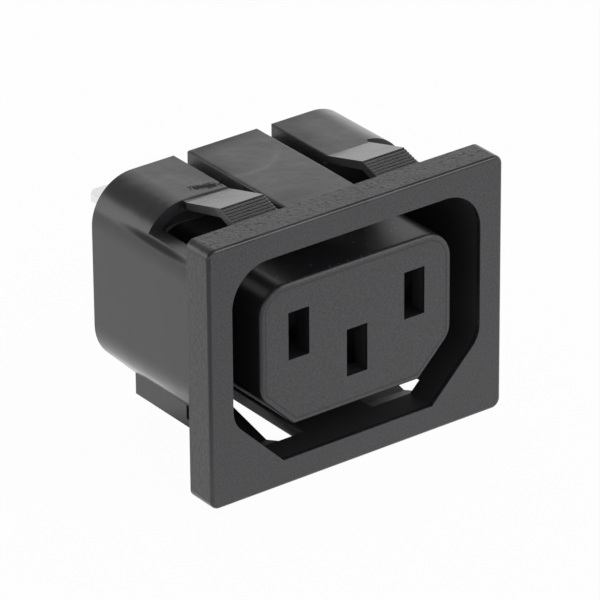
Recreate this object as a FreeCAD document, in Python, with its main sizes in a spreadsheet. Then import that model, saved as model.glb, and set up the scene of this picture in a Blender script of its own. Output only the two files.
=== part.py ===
"""Snap-in appliance outlet for a panel, with three pin slots and quick-connect tabs.

Frame, in millimetres: the origin is the centre of the flange's rear face, which seats on the panel.
+Y points into the panel, towards the tabs, +Z is up and +X is to the right seen from the front.

The moulded housing is one piece: a flange, a shell with a plug recess, the nose inside it and four snap arms.
Three folded contacts drop into the nose from the rear, and a cover in the shell's rear end traps them.
"""

import os

import FreeCAD
import Part
import Sketcher

# Driving dimensions, in millimetres: alias, value, meaning
DIMENSIONS = (
    ("pin_pitch", 14.0, "line pin axis to neutral pin axis"),
    ("pin_rise", 2.0, "line and neutral above the centre, earth below it"),
    ("pin_thickness", 2.0, "flat mating pin, across its blade"),
    ("pin_height", 4.0, "flat mating pin, along its blade"),
    ("slot_width", 2.5, "pin slot in the nose, across"),
    ("slot_height", 5.1, "pin slot in the nose, upright"),
    ("nose_side", 4.55, "line pin axis to the nose's side"),
    ("nose_roof", 1.35, "nose wall over a contact's bridge"),
    ("nose_front_wall", 2.0, "nose wall in front of the contacts"),
    ("nose_corner", 3.0, "radius of the nose's upper corners"),
    ("nose_chamfer", 3.95, "leg of the nose's lower chamfers"),
    ("nose_bend", 2.5, "radius from the nose's side to its chamfer"),
    ("nose_setback", 0.2, "nose front behind the flange front"),
    ("nose_edge", 0.3, "rounding of the nose's front edge"),
    ("gap_side", 3.45, "plug recess beside the nose"),
    ("gap_top", 3.4, "plug recess above and below the nose"),
    ("gap_chamfer", 3.46, "plug recess across the lower chamfers"),
    ("recess_corner", 4.3, "radius of the recess's upper corners"),
    ("recess_bend", 3.0, "radius from the recess's side to its chamfer"),
    ("side_wall", 0.85, "shell wall at the sides"),
    ("top_wall", 1.25, "shell wall at the top and bottom"),
    ("chamfer_wall", 0.64, "shell wall at the lower chamfers"),
    ("shell_corner", 4.8, "radius of the shell's upper corners"),
    ("shell_bend", 5.0, "radius from the shell's side to its chamfer"),
    ("shell_depth", 18.45, "flange rear face to the shell's rear rim"),
    ("rear_wall", 2.4, "web between the recess and the cover"),
    ("flange_side_lip", 1.88, "flange beyond the shell at the sides"),
    ("flange_top_lip", 1.54, "flange beyond the shell at top and bottom"),
    ("flange_thickness", 3.5, "flange front face to panel seat"),
    ("flange_corner", 1.0, "radius of the flange's corners"),
    ("flange_edge", 0.35, "rounding of the flange's outer front edges"),
    ("land_width", 8.6, "fixed land between two snap arms"),
    ("land_edge", 0.2, "rounding of the land's edges beside the slits"),
    ("arm_slit", 1.65, "slit between the land and a snap arm"),
    ("slit_depth", 1.5, "slit below the shell's top"),
    ("arm_width", 5.15, "snap arm, across"),
    ("arm_root", 0.65, "level part of an arm in front of its root"),
    ("ramp_length", 5.55, "lead-in ramp, along the insertion"),
    ("crest_distance", 3.6, "flange rear face to an arm's crest"),
    ("crest_rise", 1.5, "crest above the shell's top"),
    ("arm_thickness", 0.95, "snap arm under its crest"),
    ("root_thickness", 0.8, "snap arm at its root"),
    ("tip_thickness", 1.15, "snap arm at its tip"),
    ("tip_gap", 0.45, "arm tip behind the flange"),
    ("stair_drop", 0.95, "fall of the stepped face from crest to tip"),
    ("window_drop", 2.35, "corner window's sill below the shell's top"),
    ("cover_margin_side", 2.45, "shell rim beside the cover"),
    ("cover_margin_top", 2.95, "shell rim above and below the cover"),
    ("cover_margin_chamfer", 1.9, "shell rim across the lower chamfers"),
    ("cover_corner", 2.0, "radius of the cover's upper corners"),
    ("cover_thickness", 2.2, "rear cover"),
    ("cover_inset", 0.2, "cover's rear face below the rim"),
    ("cover_edge", 0.3, "chamfer of the cover's rear edge"),
    ("fit_clearance", 0.1, "cover in its pocket and tabs in their slots, each side"),
    ("stock", 0.8, "contact sheet thickness"),
    ("tab_width", 6.3, "quick-connect tab"),
    ("tab_reach", 9.4, "tab tip behind the shell's rear rim"),
    ("tab_chamfer", 1.0, "corner cuts of the tab's tip"),
    ("tab_lead", 0.25, "thinning of the tab's tip, each face"),
    ("tab_hole", 1.8, "detent hole in a tab, diameter"),
    ("tab_hole_setback", 3.9, "detent hole in front of the tip"),
    ("tab_offset", 3.8, "tab's middle plane above its pin axis"),
    ("channel_width", 4.4, "folded channel of a contact, outside"),
    ("channel_length", 7.0, "folded channel of a contact, along the pin"),
    ("channel_skirt", 0.7, "channel wall beyond the pin's edge"),
    ("fold_inside", 0.2, "inside radius of the channel's folds"),
    ("neck_width", 2.2, "contact between its channel and its tab"),
    ("notch_length", 1.0, "relief notch from the channel's folds to the seat"),
    ("contact_play", 0.15, "contact in its cavity, each side"),
    ("mouth_setback", 3.0, "contact mouth behind the nose's front wall"),
    ("grip", 0.1, "contact closer than the pin, each side"),
    ("mouth_length", 3.0, "mouth to the pinch of the springs"),
    ("spring_margin", 0.2, "spring taller than the pin, each edge"),
)
STAIR_STEPS = 8
ROOT_TWO = 1.41421356
CLEAR_OF_PART = 5.0
SAME = 1e-4


class Size:
    """A length: its value places geometry, and its text binds that geometry to the sheet."""

    def __init__(self, value, text):
        self.value = value
        self.text = text

    def combine(self, sign, other, swap=False):
        if not isinstance(other, Size):
            other = Size(float(other), repr(float(other)))
        left, right = (other, self) if swap else (self, other)
        values = {
            "+": lambda a, b: a + b,
            "-": lambda a, b: a - b,
            "*": lambda a, b: a * b,
            "/": lambda a, b: a / b,
        }
        return Size(values[sign](left.value, right.value), f"({left.text} {sign} {right.text})")

    def __add__(self, other):
        return self.combine("+", other)

    def __radd__(self, other):
        return self.combine("+", other, swap=True)

    def __sub__(self, other):
        return self.combine("-", other)

    def __rsub__(self, other):
        return self.combine("-", other, swap=True)

    def __mul__(self, other):
        return self.combine("*", other)

    def __rmul__(self, other):
        return self.combine("*", other, swap=True)

    def __truediv__(self, other):
        return self.combine("/", other)

    def __neg__(self):
        return self.combine("*", -1.0)


doc = FreeCAD.newDocument("iec_panel_socket")
sheet = doc.addObject("Spreadsheet::Sheet", "sizes")
size = {}
for row, (alias, value, meaning) in enumerate(DIMENSIONS, start=1):
    sheet.set(f"A{row}", meaning)
    sheet.set(f"B{row}", str(value))
    sheet.setAlias(f"B{row}", alias)
    size[alias] = Size(value, f"sizes.{alias}")
doc.recompute()


# Helpers for bodies, sketches and features


def new_body(label):
    body = doc.addObject("PartDesign::Body", label)
    body.Label = label
    return body


def origin_plane(body, role):
    return next(f for f in body.Origin.OriginFeatures if f.Role == role)


def new_sketch(body, name, role, offset=None):
    """Add a sketch on an origin plane, moved along the plane's normal by a size."""
    sketch = body.newObject("Sketcher::SketchObject", name)
    sketch.AttachmentSupport = (origin_plane(body, role), [""])
    sketch.MapMode = "FlatFace"
    if offset is not None:
        sketch.setExpression("AttachmentOffset.Base.z", offset.text)
    return sketch


def front_sketch(body, name, y):
    """Add a sketch seen from the front (X to the right, Z up) at a depth y."""
    return new_sketch(body, name, "XZ_Plane", -y)


def bind_point(sketch, geo, end, corner):
    """Hold one end of an element at a pair of sizes from the sketch's origin."""
    for kind, axis, coordinate in (("DistanceX", -2, corner[0]), ("DistanceY", -1, corner[1])):
        if abs(coordinate.value) < SAME:
            sketch.addConstraint(Sketcher.Constraint("PointOnObject", geo, end, axis))
            continue
        if coordinate.value > 0:
            ends = (-1, 1, geo, end)
            distance = coordinate
        else:
            ends = (geo, end, -1, 1)
            distance = -coordinate
        index = sketch.addConstraint(Sketcher.Constraint(kind, *ends, distance.value))
        sketch.setExpression(f"Constraints[{index}]", distance.text)


def draw_outline(sketch, corners):
    """Draw a closed outline of straight sides through pairs of sizes."""
    points = [FreeCAD.Vector(x.value, y.value, 0) for x, y in corners]
    first = sketch.GeometryCount
    count = len(points)
    for i in range(count):
        sketch.addGeometry(Part.LineSegment(points[i], points[(i + 1) % count]))
    for i in range(count):
        following = first + (i + 1) % count
        sketch.addConstraint(Sketcher.Constraint("Coincident", first + i, 2, following, 1))
    for i, corner in enumerate(corners):
        bind_point(sketch, first + i, 1, corner)


def draw_circle(sketch, centre, diameter):
    circle = Part.Circle(
        FreeCAD.Vector(centre[0].value, centre[1].value, 0),
        FreeCAD.Vector(0, 0, 1),
        diameter.value / 2,
    )
    geo = sketch.addGeometry(circle)
    bind_point(sketch, geo, 3, centre)
    index = sketch.addConstraint(Sketcher.Constraint("Diameter", geo, diameter.value))
    sketch.setExpression(f"Constraints[{index}]", diameter.text)


def both_sides(right):
    """Complete a right-hand outline, listed from its top to its bottom, with its mirror image."""
    return right + [(-x, y) for x, y in reversed(right)]


def box_corners(left, right, low, high):
    return [(left, high), (right, high), (right, low), (left, low)]


def pad(body, sketch, length, backwards=False):
    feature = body.newObject("PartDesign::Pad", f"{sketch.Name}_pad")
    feature.Profile = sketch
    feature.setExpression("Length", length.text)
    feature.Reversed = backwards
    doc.recompute()
    return feature


def pocket(body, sketch, length=None, backwards=False):
    """Cut a sketch to a depth, or through everything if no depth is given."""
    before = body.Shape.Volume
    feature = body.newObject("PartDesign::Pocket", f"{sketch.Name}_pocket")
    feature.Profile = sketch
    feature.Reversed = backwards
    if length is None:
        feature.Type = "ThroughAll"
    else:
        feature.setExpression("Length", length.text)
    doc.recompute()
    if body.Shape.Volume > before - SAME:
        raise RuntimeError(f"{feature.Name} cuts nothing")
    return feature


def dress(body, kind, name, property_name, amount, chosen):
    """Round or chamfer the body's edges that the function chosen accepts."""
    base = body.Tip
    names = [f"Edge{i}" for i, edge in enumerate(base.Shape.Edges, start=1) if chosen(edge)]
    if not names:
        raise RuntimeError(f"{name} finds no edge")
    feature = body.newObject(f"PartDesign::{kind}", name)
    feature.Base = (base, names)
    feature.setExpression(property_name, amount.text)
    doc.recompute()
    return feature


def round_edges(body, name, radius, chosen):
    return dress(body, "Fillet", name, "Radius", radius, chosen)


def chamfer_edges(body, name, leg, chosen):
    return dress(body, "Chamfer", name, "Size", leg, chosen)


def along_y(corners):
    """Choose the edges that run along Y through one of the given corners, pairs of sizes in X and Z."""
    places = [(x.value, z.value) for x, z in corners]

    def chosen(edge):
        box = edge.BoundBox
        if box.YLength < SAME or box.XLength > SAME or box.ZLength > SAME:
            return False
        return any(abs(box.XMin - x) < SAME and abs(box.ZMin - z) < SAME for x, z in places)

    return chosen


def mirrored_x(corners):
    return corners + [(-x, z) for x, z in corners]


def at_depth(y, inside=None, outside=None):
    """Choose the edges in the plane at depth y, within or beyond a half width and a half height."""

    def chosen(edge):
        box = edge.BoundBox
        if abs(box.YMin - y.value) > SAME or abs(box.YMax - y.value) > SAME:
            return False
        reach_x = max(abs(box.XMin), abs(box.XMax))
        reach_z = max(abs(box.ZMin), abs(box.ZMax))
        if inside is not None and (reach_x > inside[0].value or reach_z > inside[1].value):
            return False
        if outside is not None and reach_x < outside[0].value and reach_z < outside[1].value:
            return False
        return True

    return chosen


# Sizes that follow from the driving dimensions

pin_half = size["pin_pitch"] / 2
bridge_top = size["tab_offset"] + size["stock"] / 2
bridge_bottom = size["tab_offset"] - size["stock"] / 2

nose_x = pin_half + size["nose_side"]
nose_z = size["pin_rise"] + bridge_top + size["contact_play"] + size["nose_roof"]
nose_sum = nose_x + nose_z - size["nose_chamfer"]

recess_x = nose_x + size["gap_side"]
recess_z = nose_z + size["gap_top"]
recess_sum = nose_sum + size["gap_chamfer"] * ROOT_TWO

shell_x = recess_x + size["side_wall"]
shell_z = recess_z + size["top_wall"]
shell_sum = recess_sum + size["chamfer_wall"] * ROOT_TWO

flange_x = shell_x + size["flange_side_lip"]
flange_z = shell_z + size["flange_top_lip"]

land_x = size["land_width"] / 2
arm_inner = land_x + size["arm_slit"]
arm_outer = arm_inner + size["arm_width"]

flange_front = -size["flange_thickness"]
nose_front = flange_front + size["nose_setback"]
cavity_front = nose_front + size["nose_front_wall"]
rim = size["shell_depth"]
cover_rear = rim - size["cover_inset"]
seat = cover_rear - size["cover_thickness"]
recess_floor = seat - size["rear_wall"]

ramp_start = size["crest_distance"] + size["ramp_length"]
window_rear = ramp_start + size["arm_root"]
crest_z = shell_z + size["crest_rise"]
sill_z = shell_z - size["window_drop"]

pocket_x = shell_x - size["cover_margin_side"]
pocket_z = shell_z - size["cover_margin_top"]
pocket_sum = shell_sum - size["cover_margin_chamfer"] * ROOT_TWO

tab_tip = rim + size["tab_reach"]
channel_rear = seat - size["notch_length"]
channel_front = channel_rear - size["channel_length"]
mouth = cavity_front + size["mouth_setback"]
pinch = mouth + size["mouth_length"]

# Each contact: pin axis in X and Z, and whether its bridge lies below the pin
CONTACTS = (
    ("line_contact", -pin_half, size["pin_rise"], False),
    ("neutral_contact", pin_half, size["pin_rise"], False),
    ("earth_contact", size["pin_pitch"] * 0.0, -size["pin_rise"], True),
)


def chamfered(half_x, half_z, total):
    """A rectangle whose lower corners are cut at 45 degrees, where X and Z add up to a total."""
    return both_sides([(half_x, half_z), (half_x, half_x - total), (total - half_z, -half_z)])


def upper_corners(half_x, half_z):
    return mirrored_x([(half_x, half_z)])


def lower_bends(half_x, total):
    return mirrored_x([(half_x, half_x - total)])


def add_flange_and_shell(body):
    sketch = front_sketch(body, "flange_outline", size["flange_thickness"] * 0.0)
    draw_outline(sketch, box_corners(-flange_x, flange_x, -flange_z, flange_z))
    pad(body, sketch, size["flange_thickness"])
    corners = [(flange_x, flange_z), (flange_x, -flange_z)]
    round_edges(body, "flange_corners", size["flange_corner"], along_y(mirrored_x(corners)))

    # Below the chamfers the roots of the lower arms stand out square
    right = [
        (shell_x, shell_z),
        (shell_x, shell_x - shell_sum),
        (arm_outer, arm_outer - shell_sum),
        (arm_outer, -shell_z),
    ]
    sketch = front_sketch(body, "shell_outline", size["flange_thickness"] * 0.0)
    draw_outline(sketch, both_sides(right))
    pad(body, sketch, rim, backwards=True)


def add_recess_and_nose(body):
    sketch = front_sketch(body, "recess_outline", flange_front)
    draw_outline(sketch, chamfered(recess_x, recess_z, recess_sum))
    pocket(body, sketch, recess_floor - flange_front)
    round_edges(body, "recess_corners", size["recess_corner"], along_y(upper_corners(recess_x, recess_z)))
    round_edges(body, "recess_bends", size["recess_bend"], along_y(lower_bends(recess_x, recess_sum)))
    # The shell is rounded after the recess, whose square corners would break through a rounded shell
    round_edges(body, "shell_corners", size["shell_corner"], along_y(upper_corners(shell_x, shell_z)))
    round_edges(body, "shell_bends", size["shell_bend"], along_y(lower_bends(shell_x, shell_sum)))

    sketch = front_sketch(body, "nose_outline", recess_floor)
    draw_outline(sketch, chamfered(nose_x, nose_z, nose_sum))
    pad(body, sketch, recess_floor - nose_front)
    round_edges(body, "nose_corners", size["nose_corner"], along_y(upper_corners(nose_x, nose_z)))
    round_edges(body, "nose_bends", size["nose_bend"], along_y(lower_bends(nose_x, nose_sum)))


def arm_profile():
    """A snap arm from the side, Y then Z: level root, ramp, crest, stepped face and underside."""
    root = window_rear + size["arm_root"]
    tip = size["tip_gap"]
    tread = (size["crest_distance"] - tip) / STAIR_STEPS
    riser = size["stair_drop"] / STAIR_STEPS
    corners = [(root, shell_z), (ramp_start, shell_z), (size["crest_distance"], crest_z)]
    for step in range(STAIR_STEPS):
        low = crest_z - riser * (step + 1)
        corners.append((size["crest_distance"] - tread * step, low))
        corners.append((size["crest_distance"] - tread * (step + 1), low))
    tip_z = crest_z - size["stair_drop"]
    corners += [
        (tip, tip_z - size["tip_thickness"]),
        (size["crest_distance"], crest_z - size["arm_thickness"]),
        (ramp_start, shell_z - size["root_thickness"]),
        (root, shell_z - size["root_thickness"]),
    ]
    return corners


def add_snap_arms(body):
    """Open the upper right corner behind the flange, add its snap arm, and mirror both to the other corners."""
    beyond_x = shell_x + CLEAR_OF_PART
    beyond_z = crest_z + CLEAR_OF_PART
    sketch = front_sketch(body, "corner_window", size["flange_thickness"] * 0.0)
    draw_outline(sketch, box_corners(land_x, beyond_x, sill_z, beyond_z))
    window = pocket(body, sketch, window_rear)

    sketch = front_sketch(body, "arm_slit_outline", window_rear)
    draw_outline(sketch, box_corners(land_x, arm_inner, shell_z - size["slit_depth"], beyond_z))
    slit = pocket(body, sketch)

    sketch = new_sketch(body, "arm_side", "YZ_Plane", arm_inner)
    draw_outline(sketch, arm_profile())
    arm = pad(body, sketch, size["arm_width"])

    corners = body.newObject("PartDesign::MultiTransform", "four_corners")
    corners.Originals = [window, slit, arm]
    mirrors = []
    for name, role in (("left_right", "YZ_Plane"), ("top_bottom", "XY_Plane")):
        mirror = body.newObject("PartDesign::Mirrored", name)
        mirror.MirrorPlane = (origin_plane(body, role), [""])
        mirrors.append(mirror)
    corners.Transformations = mirrors
    body.Tip = corners
    doc.recompute()
    land_corners = [(land_x, shell_z), (land_x, -shell_z)]
    round_edges(body, "land_edges", size["land_edge"], along_y(mirrored_x(land_corners)))


def add_contact_cavities(body):
    sketch = front_sketch(body, "cover_pocket", rim)
    draw_outline(sketch, chamfered(pocket_x, pocket_z, pocket_sum))
    pocket(body, sketch, rim - seat, backwards=True)
    round_edges(body, "cover_pocket_corners", size["cover_corner"], along_y(upper_corners(pocket_x, pocket_z)))

    half_width = size["channel_width"] / 2 + size["contact_play"]
    above = bridge_top + size["contact_play"]
    below = size["pin_height"] / 2 + size["channel_skirt"] + size["contact_play"]
    cavities = front_sketch(body, "contact_cavities", seat)
    slots = front_sketch(body, "pin_slots", nose_front)
    for label, x, z, inverted in CONTACTS:
        low, high = (z - above, z + below) if inverted else (z - below, z + above)
        draw_outline(cavities, box_corners(x - half_width, x + half_width, low, high))
        half_slot = size["slot_width"] / 2
        half_tall = size["slot_height"] / 2
        draw_outline(slots, box_corners(x - half_slot, x + half_slot, z - half_tall, z + half_tall))
    pocket(body, cavities, seat - cavity_front, backwards=True)
    pocket(body, slots, size["nose_front_wall"])


def make_housing():
    body = new_body("housing")
    add_flange_and_shell(body)
    add_recess_and_nose(body)
    add_snap_arms(body)
    add_contact_cavities(body)
    # The recess keeps a sharp front edge, so only the flange's outline is rounded
    outline = ((recess_x + flange_x) / 2, (recess_z + flange_z) / 2)
    round_edges(body, "nose_front_edge", size["nose_edge"], nose_front_edges())
    round_edges(body, "flange_front_edges", size["flange_edge"], at_depth(flange_front, outside=outline))
    return body


def nose_front_edges():
    """Choose the nose's outer front edges and leave the edges of its pin slots sharp."""
    slot_reach_x = pin_half + size["slot_width"] / 2
    slot_reach_z = size["pin_rise"] + size["slot_height"] / 2
    margin = size["nose_roof"] / 2
    return at_depth(nose_front, outside=(slot_reach_x + margin, slot_reach_z + margin))


def make_cover():
    body = new_body("rear_cover")
    play = size["fit_clearance"]
    half_x = pocket_x - play
    half_z = pocket_z - play
    sketch = front_sketch(body, "cover_outline", seat)
    draw_outline(sketch, chamfered(half_x, half_z, pocket_sum - play * ROOT_TWO))
    pad(body, sketch, size["cover_thickness"], backwards=True)
    round_edges(body, "cover_corners", size["cover_corner"], along_y(upper_corners(half_x, half_z)))
    chamfer_edges(body, "cover_rear_edge", size["cover_edge"], at_depth(cover_rear))

    half_width = size["tab_width"] / 2 + play
    half_tall = size["stock"] / 2 + play
    sketch = front_sketch(body, "tab_slots", cover_rear)
    for label, x, z, inverted in CONTACTS:
        middle = z - size["tab_offset"] if inverted else z + size["tab_offset"]
        draw_outline(
            sketch,
            box_corners(x - half_width, x + half_width, middle - half_tall, middle + half_tall),
        )
    pocket(body, sketch, size["cover_thickness"], backwards=True)
    return body


def spring_outline(side):
    """One contact spring from above: it leaves the channel wall, pinches the pin and flares at the mouth."""
    wall = size["channel_width"] / 2 - size["stock"]
    grip = size["pin_thickness"] / 2 - size["grip"]
    inner = [(wall, channel_front), (grip, pinch), (wall, mouth)]
    outer = [(x + size["stock"], y) for x, y in reversed(inner)]
    return [(x * side, y) for x, y in inner + outer]


def make_contact(label, x, z, inverted):
    """A contact in the frame of its own pin axis, folded as a channel with its bridge above the pin."""
    body = new_body(label)
    half_channel = size["channel_width"] / 2
    half_neck = size["neck_width"] / 2
    half_tab = size["tab_width"] / 2
    cut = size["tab_chamfer"]

    # The flat part narrows to a neck behind the channel, and the tab's shoulders stop against the seat
    sketch = new_sketch(body, f"{label}_flat", "XY_Plane", bridge_bottom)
    right = [
        (half_tab - cut, tab_tip),
        (half_tab, tab_tip - cut),
        (half_tab, seat),
        (half_neck, seat),
        (half_neck, channel_rear),
        (half_channel, channel_rear),
        (half_channel, channel_front),
    ]
    draw_outline(sketch, both_sides(right))
    pad(body, sketch, size["stock"])

    sketch = new_sketch(body, f"{label}_hole", "XY_Plane", bridge_top)
    draw_circle(sketch, (size["stock"] * 0.0, tab_tip - size["tab_hole_setback"]), size["tab_hole"])
    pocket(body, sketch, size["stock"])
    tip_edges = at_depth(tab_tip)
    chamfer_edges(
        body,
        f"{label}_tip",
        size["tab_lead"],
        lambda edge: tip_edges(edge) and edge.BoundBox.XLength > SAME,
    )

    skirt = size["pin_height"] / 2 + size["channel_skirt"]
    sketch = new_sketch(body, f"{label}_walls", "XY_Plane", -skirt)
    for side in (-1.0, 1.0):
        inner = (half_channel - size["stock"]) * side
        outer = half_channel * side
        draw_outline(sketch, box_corners(inner, outer, channel_front, channel_rear))
    pad(body, sketch, skirt + bridge_bottom)
    outside = mirrored_x([(half_channel, bridge_top)])
    round_edges(body, f"{label}_folds", size["fold_inside"] + size["stock"], along_y(outside))
    inside = mirrored_x([(half_channel - size["stock"], bridge_bottom)])
    round_edges(body, f"{label}_inner_folds", size["fold_inside"], along_y(inside))

    # Heels below the pin axis reach back to the cover, which holds the contact in its cavity
    sketch = new_sketch(body, f"{label}_heels", "XY_Plane", -skirt)
    for side in (-1.0, 1.0):
        inner = (half_channel - size["stock"]) * side
        outer = half_channel * side
        draw_outline(sketch, box_corners(inner, outer, channel_rear, seat))
    pad(body, sketch, skirt)

    half_spring = size["pin_height"] / 2 + size["spring_margin"]
    sketch = new_sketch(body, f"{label}_springs", "XY_Plane", -half_spring)
    for side in (-1.0, 1.0):
        draw_outline(sketch, spring_outline(side))
    pad(body, sketch, half_spring * 2.0)

    if inverted:
        body.Placement.Rotation = FreeCAD.Rotation(FreeCAD.Vector(0, 1, 0), 180)
    body.setExpression("Placement.Base.x", x.text)
    body.setExpression("Placement.Base.z", z.text)
    doc.recompute()
    return body


def check(bodies):
    """Stop if any object failed to compute or any piece isn't one valid solid."""
    for item in doc.Objects:
        if "Invalid" in item.State or "Error" in item.State:
            raise RuntimeError(f"{item.Label} is {item.State}")
    for body in bodies:
        shape = body.Shape
        if shape.isNull() or not shape.isValid() or len(shape.Solids) != 1:
            raise RuntimeError(f"{body.Label} isn't one valid solid")


pieces = [make_housing(), make_cover()]
pieces += [make_contact(*contact) for contact in CONTACTS]
doc.recompute()
check(pieces)

os.makedirs("parts", exist_ok=True)
for piece in pieces:
    piece.Shape.exportStep(f"parts/{piece.Label}.step")
    box = piece.Shape.BoundBox
    print(
        f"{piece.Label}: {piece.Shape.Volume:.1f} mm3, X {box.XMin:.2f} to {box.XMax:.2f}, "
        f"Y {box.YMin:.2f} to {box.YMax:.2f}, Z {box.ZMin:.2f} to {box.ZMax:.2f}"
    )
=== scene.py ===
"""Finishes and studio for a snap-in panel outlet, laid out as an add-on and run as a script."""

import math
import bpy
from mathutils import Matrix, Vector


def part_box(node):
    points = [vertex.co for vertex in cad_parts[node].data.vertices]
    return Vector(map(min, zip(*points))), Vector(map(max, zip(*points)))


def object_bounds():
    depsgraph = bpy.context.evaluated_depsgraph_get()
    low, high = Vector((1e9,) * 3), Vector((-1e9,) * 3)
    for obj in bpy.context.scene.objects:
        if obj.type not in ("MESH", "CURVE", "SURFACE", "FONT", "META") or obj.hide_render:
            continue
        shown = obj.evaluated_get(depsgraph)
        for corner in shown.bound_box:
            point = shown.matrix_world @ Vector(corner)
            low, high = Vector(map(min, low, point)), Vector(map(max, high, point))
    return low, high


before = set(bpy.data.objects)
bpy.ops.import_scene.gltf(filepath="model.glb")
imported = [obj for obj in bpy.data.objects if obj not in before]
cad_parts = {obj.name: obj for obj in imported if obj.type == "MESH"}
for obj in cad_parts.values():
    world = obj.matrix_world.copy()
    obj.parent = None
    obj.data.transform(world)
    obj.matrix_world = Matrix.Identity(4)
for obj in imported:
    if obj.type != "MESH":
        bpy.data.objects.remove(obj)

from types import SimpleNamespace

import bpy
from bpy.props import FloatProperty, FloatVectorProperty, PointerProperty
from mathutils import Matrix, Vector

bl_info = {
    "name": "Panel outlet looks",
    "version": (1, 0, 0),
    "blender": (4, 5, 0),
    "location": "View3D > Sidebar > Panel outlet",
    "description": "Gives a snap-in panel outlet its moulded and plated finishes and a white studio",
    "category": "Object",
}

CAD_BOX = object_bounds()
MM = 0.001
PICTURE_SENSOR = 36.0
WHITE = (1.0, 1.0, 1.0, 1.0)

# Places on the outlet that the finishes follow, in metres; the outlet's size is read from the frame
HOUSING_LOW, HOUSING_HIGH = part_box("housing")
FLANGE_FRONT = HOUSING_LOW.y
FLANGE_SIDE = HOUSING_HIGH.x
FLANGE_TOP = HOUSING_HIGH.z
FLANGE_EDGE = 0.35 * MM
NOSE_DEPTH = 0.2 * MM
NOSE_TOP = 7.7 * MM
NOSE_SIDE = 11.55 * MM
NOSE_CORNER = 3.0 * MM
NOSE_SLANT = 15.3 * MM
NOSE_RIM = 0.6 * MM
CORE_DEPTH = 5.0 * MM
SHELL_TOP = 12.35 * MM
SILL = 10.0 * MM
SLIT_MIDDLE = 5.0 * MM
SLIT_HALF = 0.96 * MM
RAMP_START = 9.15 * MM
CREST = 3.6 * MM
LAND_SIDE = 4.3 * MM
ARM_SIDE = 5.95 * MM
ARM_WIDTH = 5.15 * MM

# A point this near to a face lies on it; below the next two values a face looks inwards, or to the front
NEAR = 0.02 * MM
INNER_WALL = -1.0 * MM
FACES_FRONT = -0.1

# Where the housing's finishes begin and where they are full
FRONT_FADE = {"From Min": NOSE_DEPTH + 0.03 * MM, "From Max": NOSE_DEPTH + 0.005 * MM}
SIDE_FADE = {"From Min": FLANGE_EDGE - 0.04 * MM, "From Max": FLANGE_EDGE + 0.02 * MM}
CORNER_WEAR = {"From Min": -1.0 * MM, "From Max": -0.8 * MM, "To Max": 0.75}
SLIT_FADE = {"From Min": SHELL_TOP - 0.02 * MM, "From Max": SHELL_TOP - 0.35 * MM}
CORE_FADE = {"From Min": 0.4 * MM, "From Max": 0.6 * MM}
UPPER_FADE = {"From Min": SHELL_TOP - 0.6 * MM, "From Max": SHELL_TOP}

# Patterns of the moulding, with scales from sizes in millimetres; the size of the grain is a property
FLOW_WAVES = {"Scale": 1 / (5.0 * MM), "Detail": 3.0, "Roughness": 0.55}
RAGGED_MARKS = {"Scale": 1 / (0.4 * MM), "Detail": 4.0, "Roughness": 0.75}
SPARK_PITS = {"Detail": 2.0, "Roughness": 0.6}
PIT_FINENESS = {"To Min": 0.8, "To Max": 0.55}
SPECK_SPACING = 1.3 * MM
SPECK_SIZES = {"From Min": 0.35, "From Max": 1.0, "To Min": 0.0, "To Max": 0.13}
DARK_PIT_SIZES = {"From Min": 0.9, "From Max": 1.0, "To Min": 0.0, "To Max": 0.12}
DARK_PIT_BAND = 0.15 * MM
DARK_GRAIN = {"From Min": 0.44, "From Max": 0.3}
DARK_GRAIN_SHARE = 0.4

# Marks: a scuff of wear, lines of painted shade round the nose's rim, in the crease and below each corner
# window, and a smear; the middle, turn and reach of each, and how it fades
# Painted shade: a dark line round the nose's face, just inside its rounded edge
RIM_LINE_HALF = 0.09 * MM
RIM_LINE_SHARE = 0.5
SCUFF = {
    "Location": (-7.6 * MM, 10.95 * MM, SHELL_TOP),
    "Rotation": (0.0, 0.0, math.radians(-18)),
    "Scale": (3.0 * MM, 0.95 * MM, 0.6 * MM),
}
SCUFF_FRAYING = 2.0
SCUFF_RIM = 0.02
SCUFF_FADE = {"From Min": 1.36, "From Max": 1.66}
# Painted shade: a dark line in the crease where the upper left arm's ramp starts
CREASE = {
    "Location": (-8.25 * MM, 9.55 * MM, SHELL_TOP),
    "Rotation": (0.0, 0.0, math.radians(-4)),
    "Scale": (5.0 * MM, 0.4 * MM, 0.5 * MM),
}
# Painted shade: a dark line below the sill of each corner window
SILL_LINE = {
    "Location": (15.4 * MM, 8.0 * MM, SILL - 0.5 * MM),
    "Scale": (1.2 * MM, 7.5 * MM, 0.6 * MM),
}
LINE_FADE = {"From Max": 0.7, "To Max": 0.8}
SMEAR_MIDDLE = (-1.9 * MM, 15.9 * MM, SHELL_TOP)
SMEAR_RADIUS = 5.3 * MM
SMEAR_FADE = {"From Min": 0.6 * MM, "From Max": 0.1 * MM}
SMEAR_END = {"From Min": 14.5 * MM, "From Max": 12.5 * MM}

# Patches on the shell's flat tops that handling dulled: middle and reach along X and Y, and how dull
DULL_PATCHES = {
    "rear of the land": (-0.5 * MM, 18.6 * MM, 7.5 * MM, 2.8 * MM, 0.35),
    "left of the land": (-4.4 * MM, 13.5 * MM, 3.6 * MM, 7.0 * MM, 0.28),
    "front of the land": (-2.2 * MM, 4.3 * MM, 5.5 * MM, 3.0 * MM, 0.22),
    "left of the right arm": (6.6 * MM, 13.8 * MM, 2.8 * MM, 7.5 * MM, 0.27),
    "rear of the right arm": (8.5 * MM, 18.6 * MM, 4.5 * MM, 3.0 * MM, 0.2),
}
DULL_HEIGHT = 0.6 * MM

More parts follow.
